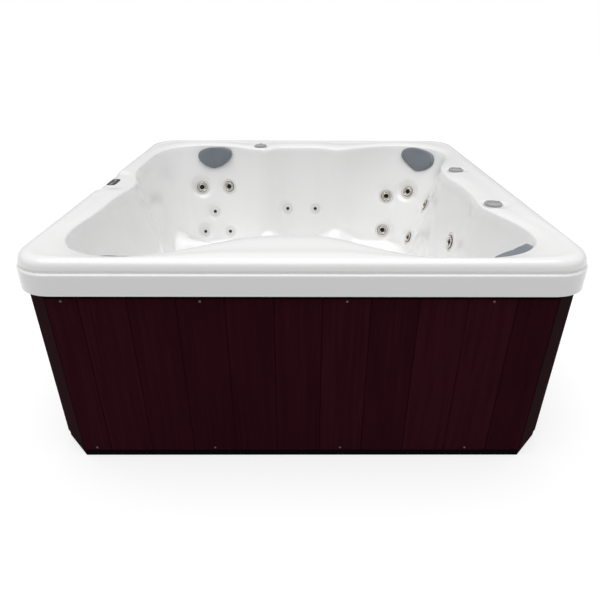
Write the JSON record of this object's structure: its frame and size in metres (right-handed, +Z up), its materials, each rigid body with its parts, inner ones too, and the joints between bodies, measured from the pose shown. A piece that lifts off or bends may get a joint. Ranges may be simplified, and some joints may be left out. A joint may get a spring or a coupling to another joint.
{
  "type": "hot tub",
  "caption": "Square hot tub with a sculpted white acrylic shell, dark boarded cabinet, turning jets, head pillows, deck valves, button panel, skimmer and pump.",
  "frame": {"origin": "middle of the base on the floor", "axes": "+Z up; +X to the right and -Y to the front as the picture sees it"},
  "size_m": [1.98, 1.98, 0.871],
  "materials": {
    "acrylic": "glossy cast acrylic",
    "black_plastic": "matt moulded",
    "foam": "rigid foam block",
    "timber": "planed softwood",
    "boards": "dark mahogany stain, satin",
    "steel": "satin stainless",
    "pillow": "soft moulded foam with a fine skin",
    "grey_plastic": "satin moulded",
    "white_plastic": "satin moulded",
    "dark_plastic": "satin moulded",
    "display": "clear glossy window over black",
    "jet_trim": "polished trim",
    "jet_black": "satin moulded",
    "filter_cloth": "pleated filter cloth",
    "motor_paint": "satin paint",
    "box_plastic": "matt moulded",
    "pipe_plastic": "extruded pipe",
    "button_plastic": "soft-touch buttons"
  },
  "bodies": {
    "tub": {"shell": "acrylic", "base_pan": "black_plastic", "floor_pad": "foam", "frame_posts": "timber", "frame_rails": "timber", "frame_studs": "timber", "boards_front": "boards", "boards_right": "boards", "boards_back": "boards", "boards_left": "boards", "corner_boards": "boards", "board_screws": "steel", "pillow_back_left": "pillow", "pillow_back_right": "pillow", "pillow_front_right": "pillow", "pillow_front_left": "pillow", "valve_bodies": "white_plastic", "control_panel": "dark_plastic", "display_window": "display", "jet_bodies_large": "white_plastic", "jet_bodies_small": "white_plastic", "jet_faces_small": "jet_trim", "skimmer": "white_plastic", "filter_cartridge": "filter_cloth", "suction_covers": "white_plastic", "pump_motor": "motor_paint", "pump_housing": "black_plastic", "heater_tube": "steel", "control_box": "box_plastic", "pipework": "pipe_plastic"},
    "jet_face_1": {"jet_face_1": "jet_trim"},
    "jet_ball_1": {"jet_ball_1": "jet_black"},
    "jet_face_2": {"jet_face_2": "jet_trim"},
    "jet_ball_2": {"jet_ball_2": "jet_black"},
    "jet_face_3": {"jet_face_3": "jet_trim"},
    "jet_ball_3": {"jet_ball_3": "jet_black"},
    "jet_face_4": {"jet_face_4": "jet_trim"},
    "jet_ball_4": {"jet_ball_4": "jet_black"},
    "jet_face_5": {"jet_face_5": "jet_trim"},
    "jet_ball_5": {"jet_ball_5": "jet_black"},
    "jet_face_6": {"jet_face_6": "jet_trim"},
    "jet_ball_6": {"jet_ball_6": "jet_black"},
    "jet_face_7": {"jet_face_7": "jet_trim"},
    "jet_ball_7": {"jet_ball_7": "jet_black"},
    "jet_face_8": {"jet_face_8": "jet_trim"},
    "jet_ball_8": {"jet_ball_8": "jet_black"},
    "diverter_cap": {"diverter_cap": "grey_plastic"},
    "air_cap_rear": {"air_cap_rear": "grey_plastic"},
    "air_cap_front": {"air_cap_front": "grey_plastic"},
    "button_1": {"button_1": "button_plastic"},
    "button_2": {"button_2": "button_plastic"},
    "button_3": {"button_3": "button_plastic"},
    "button_4": {"button_4": "button_plastic"},
    "weir_flap": {"weir_flap": "white_plastic"},
    "impeller": {"impeller": "grey_plastic"}
  },
  "joints": [
    {"name": "jet_face_1_turn", "type": "hinge", "parent": "tub", "child": "jet_face_1", "pos_m": [-0.6625, 0.7645, 0.59155], "axis": [0.2594, -0.8947, 0.3635], "range_deg": [-60, 60]},
    {"name": "jet_ball_1_swivel", "type": "hinge", "parent": "jet_face_1", "child": "jet_ball_1", "pos_m": [-0.66302, 0.76629, 0.59082], "axis": [0.9604, 0.2785, 0], "range_deg": [-12, 12]},
    {"name": "jet_face_2_turn", "type": "hinge", "parent": "tub", "child": "jet_face_2", "pos_m": [-0.47951, 0.75825, 0.59901], "axis": [-0.3005, -0.9214, 0.2465], "range_deg": [-60, 60]},
    {"name": "jet_ball_2_swivel", "type": "hinge", "parent": "jet_face_2", "child": "jet_ball_2", "pos_m": [-0.47891, 0.76009, 0.59852], "axis": [0.9507, -0.3101, 0], "range_deg": [-12, 12]},
    {"name": "jet_face_3_turn", "type": "hinge", "parent": "tub", "child": "jet_face_3", "pos_m": [0.55958, 0.74605, 0.53858], "axis": [-0.0517, -0.9334, 0.3552], "range_deg": [-60, 60]},
    {"name": "jet_ball_3_swivel", "type": "hinge", "parent": "jet_face_3", "child": "jet_ball_3", "pos_m": [0.55968, 0.74791, 0.53787], "axis": [0.9985, -0.0553, 0], "range_deg": [-12, 12]},
    {"name": "jet_face_4_turn", "type": "hinge", "parent": "tub", "child": "jet_face_4", "pos_m": [0.69817, 0.7236, 0.57634], "axis": [-0.5499, -0.7246, 0.4155], "range_deg": [-60, 60]},
    {"name": "jet_ball_4_swivel", "type": "hinge", "parent": "jet_face_4", "child": "jet_ball_4", "pos_m": [0.69927, 0.72505, 0.57551], "axis": [0.7966, -0.6045, 0], "range_deg": [-12, 12]},
    {"name": "jet_face_5_turn", "type": "hinge", "parent": "tub", "child": "jet_face_5", "pos_m": [0.76768, 0.51487, 0.55369], "axis": [-0.9391, 0.1009, 0.3285], "range_deg": [-60, 60]},
    {"name": "jet_ball_5_swivel", "type": "hinge", "parent": "jet_face_5", "child": "jet_ball_5", "pos_m": [0.76956, 0.51467, 0.55303], "axis": [-0.1068, -0.9943, 0], "range_deg": [-12, 12]},
    {"name": "jet_face_6_turn", "type": "hinge", "parent": "tub", "child": "jet_face_6", "pos_m": [0.53859, 0.66844, 0.32859], "axis": [-0.079, -0.9322, 0.3532], "range_deg": [-60, 60]},
    {"name": "jet_ball_6_swivel", "type": "hinge", "parent": "jet_face_6", "child": "jet_ball_6", "pos_m": [0.53875, 0.6703, 0.32788], "axis": [0.9964, -0.0844, 0], "range_deg": [-12, 12]},
    {"name": "jet_face_7_turn", "type": "hinge", "parent": "tub", "child": "jet_face_7", "pos_m": [0.68481, 0.51369, 0.33652], "axis": [-0.9229, -0.1093, 0.3692], "range_deg": [-60, 60]},
    {"name": "jet_ball_7_swivel", "type": "hinge", "parent": "jet_face_7", "child": "jet_ball_7", "pos_m": [0.68665, 0.51391, 0.33579], "axis": [0.1176, -0.9931, 0], "range_deg": [-12, 12]},
    {"name": "jet_face_8_turn", "type": "hinge", "parent": "tub", "child": "jet_face_8", "pos_m": [0.73801, -0.15588, 0.58441], "axis": [-0.9882, -0.0382, 0.1482], "range_deg": [-60, 60]},
    {"name": "jet_ball_8_swivel", "type": "hinge", "parent": "jet_face_8", "child": "jet_ball_8", "pos_m": [0.73999, -0.1558, 0.58411], "axis": [0.0386, -0.9993, 0], "range_deg": [-12, 12]},
    {"name": "diverter_cap_turn", "type": "hinge", "parent": "tub", "child": "diverter_cap", "pos_m": [-0.267, 0.79, 0.851], "axis": [0, 0, 1], "range_deg": [-90, 90]},
    {"name": "air_cap_rear_turn", "type": "hinge", "parent": "tub", "child": "air_cap_rear", "pos_m": [0.822, 0.19, 0.851], "axis": [0, 0, 1], "range_deg": [0, 120]},
    {"name": "air_cap_front_turn", "type": "hinge", "parent": "tub", "child": "air_cap_front", "pos_m": [0.822, -0.385, 0.851], "axis": [0, 0, 1], "range_deg": [0, 120]},
    {"name": "button_1_press", "type": "slide", "parent": "tub", "child": "button_1", "axis": [0, 0, -1], "range_m": [0, 0.001], "stiffness_N_per_m": 600, "springref_m": -0.0003},
    {"name": "button_2_press", "type": "slide", "parent": "tub", "child": "button_2", "axis": [0, 0, -1], "range_m": [0, 0.001], "stiffness_N_per_m": 600, "springref_m": -0.0003},
    {"name": "button_3_press", "type": "slide", "parent": "tub", "child": "button_3", "axis": [0, 0, -1], "range_m": [0, 0.001], "stiffness_N_per_m": 600, "springref_m": -0.0003},
    {"name": "button_4_press", "type": "slide", "parent": "tub", "child": "button_4", "axis": [0, 0, -1], "range_m": [0, 0.001], "stiffness_N_per_m": 600, "springref_m": -0.0003},
    {"name": "weir_flap_swing", "type": "hinge", "parent": "tub", "child": "weir_flap", "pos_m": [-0.04944, -0.71952, 0.67046], "axis": [-0.9998, -0.019, 0], "range_deg": [0, 70]},
    {"name": "impeller_spin", "type": "hinge", "parent": "tub", "child": "impeller", "pos_m": [-0.45, 0, 0.14274], "axis": [1, 0, 0], "continuous": true}
  ]
}
